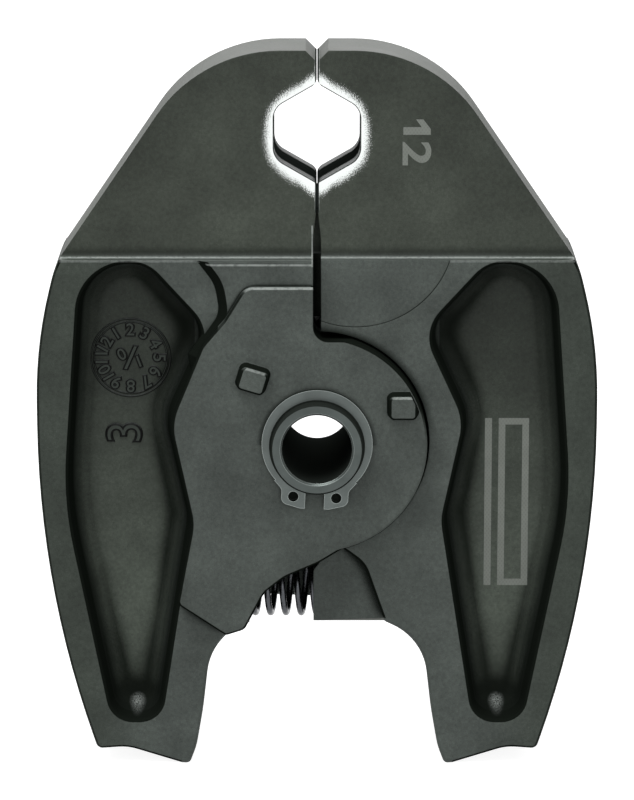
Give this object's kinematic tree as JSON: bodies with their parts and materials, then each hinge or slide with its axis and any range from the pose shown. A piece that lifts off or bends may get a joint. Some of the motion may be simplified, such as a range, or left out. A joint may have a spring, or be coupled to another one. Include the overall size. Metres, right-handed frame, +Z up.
{
  "type": "press fitting tool jaw",
  "caption": "Scissor-type press jaw: two forged steel arms lapped on a hollow pivot pin, with a hexagonal press contour, a closing spring and retaining rings.",
  "frame": {"origin": "on the pivot pin's axis, at the middle of the jaw's thickness", "axes": "+Z up to the tips of the jaw, +X to the right arm, +Y to the back along the pin"},
  "size_m": [0.0914, 0.0324, 0.1188],
  "materials": {
    "jaw_steel": "phosphated forged steel, dark grey",
    "pin_steel": "phosphated turned steel",
    "ring_steel": "phosphated spring steel",
    "spring_steel": "oiled dark spring wire"
  },
  "bodies": {
    "pin": {"pivot_pin": "pin_steel", "front_retaining_ring": "ring_steel", "rear_retaining_ring": "ring_steel"},
    "left_arm": {"left_jaw": "jaw_steel", "closing_spring": "spring_steel"},
    "right_arm": {"right_jaw": "jaw_steel"}
  },
  "joints": [
    {"name": "left_arm_pivot", "type": "hinge", "parent": "pin", "child": "left_arm", "pos_m": [0, 0, 0], "axis": [0, -1, 0], "range_deg": [0, 8.5], "stiffness_Nm_per_rad": 3.8, "springref_deg": -8.31, "deforming": ["closing_spring"]},
    {"name": "right_arm_pivot", "type": "hinge", "parent": "pin", "child": "right_arm", "pos_m": [0, 0, 0], "axis": [0, 1, 0], "range_deg": [0, 8.5], "stiffness_Nm_per_rad": 3.8, "springref_deg": -8.31}
  ],
  "couplings": [
    {"joint": "left_arm_pivot", "follows": "right_arm_pivot", "ratio": 1}
  ]
}
